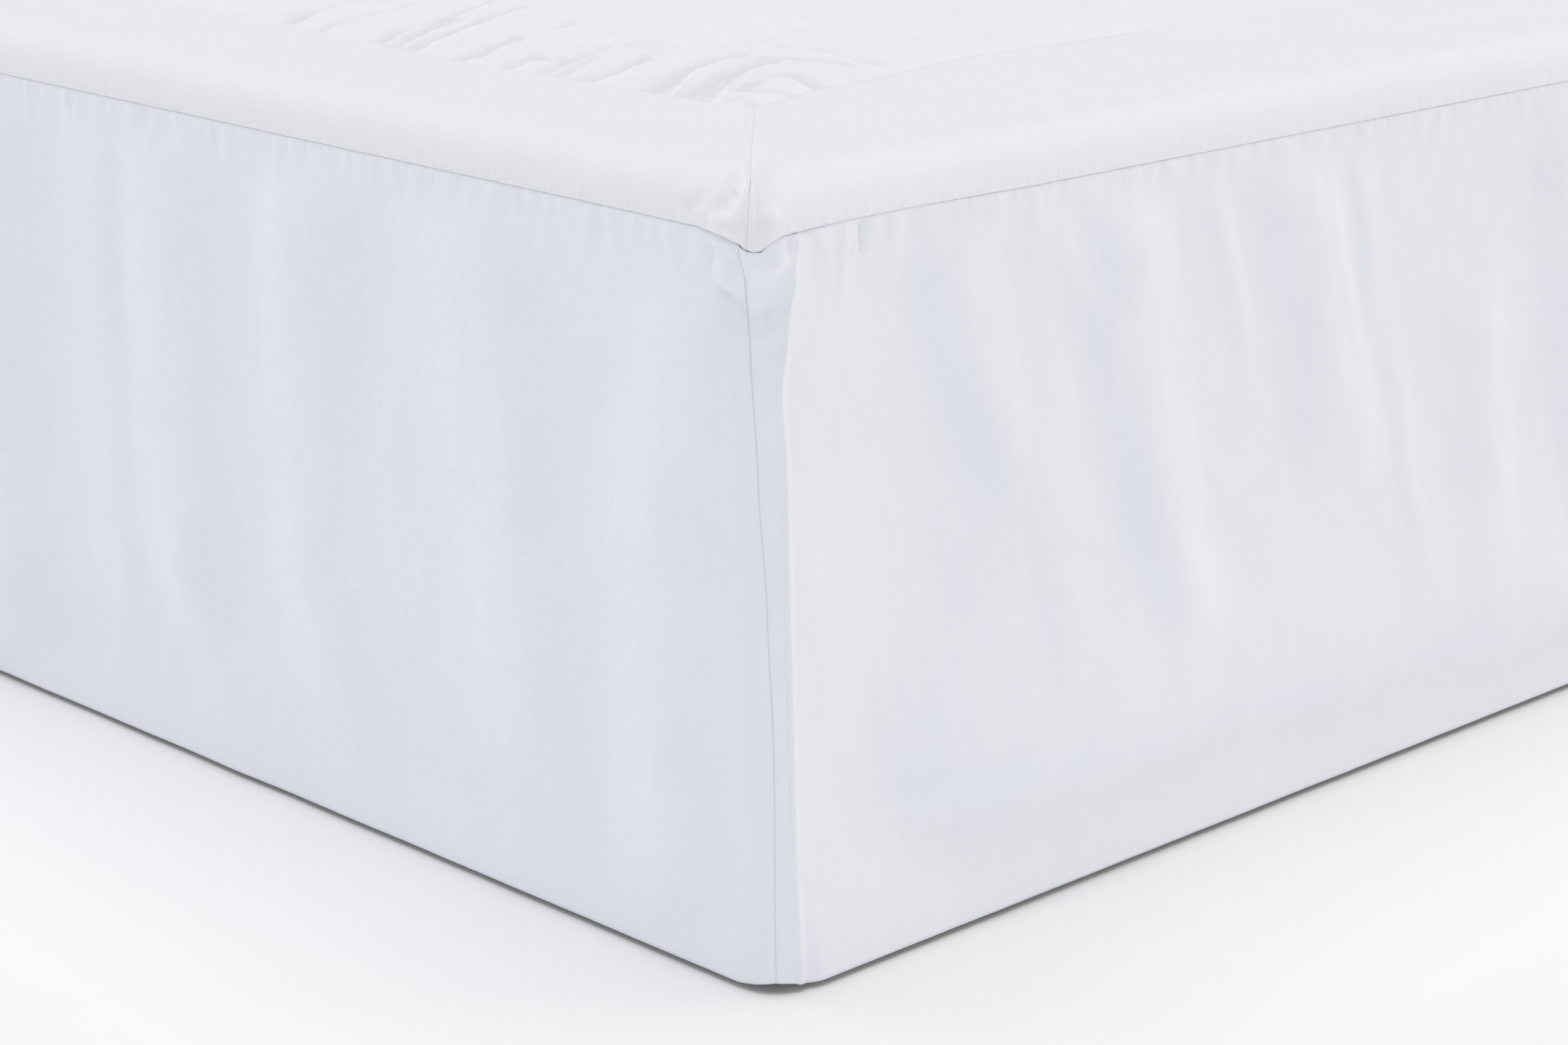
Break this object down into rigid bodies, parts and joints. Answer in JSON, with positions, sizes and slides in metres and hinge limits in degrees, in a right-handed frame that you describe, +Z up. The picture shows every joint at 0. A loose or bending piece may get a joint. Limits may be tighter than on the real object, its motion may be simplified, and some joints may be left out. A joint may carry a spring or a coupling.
{
  "type": "tailored bed skirt on a queen box spring with its frame",
  "caption": "White tailored bed skirt with flat drops on three sides, fitted over a box spring with a mitred border band and a crinkled deck.",
  "frame": {"origin": "middle of the bed's footprint, on the floor", "axes": "+Z up, +Y towards the head of the bed, +X to the right side seen from the foot"},
  "size_m": [1.5674, 2.0414, 0.3879],
  "materials": {
    "deck_cotton": "thin crinkled white cotton",
    "border_cotton": "smooth white cotton, plain weave",
    "drop_cotton": "smooth white cotton, plain weave",
    "ticking": "plain woven ticking",
    "frame_steel": "matte powder coat",
    "pad_rubber": "matte"
  },
  "bodies": {
    "root": {"deck_panel": "deck_cotton", "border_foot": "border_cotton", "border_left": "border_cotton", "border_right": "border_cotton", "drop_foot": "drop_cotton", "drop_left": "drop_cotton", "drop_right": "drop_cotton", "box_spring": "ticking", "rail_left": "frame_steel", "rail_right": "frame_steel", "rail_foot": "frame_steel", "rail_middle": "frame_steel", "rail_head": "frame_steel", "leg_foot_left": "frame_steel", "leg_foot_right": "frame_steel", "leg_middle_left": "frame_steel", "leg_middle_right": "frame_steel", "leg_head_left": "frame_steel", "leg_head_right": "frame_steel", "pad_foot_left": "pad_rubber", "pad_foot_right": "pad_rubber", "pad_middle_left": "pad_rubber", "pad_middle_right": "pad_rubber", "pad_head_left": "pad_rubber", "pad_head_right": "pad_rubber"}
  },
  "joints": []
}
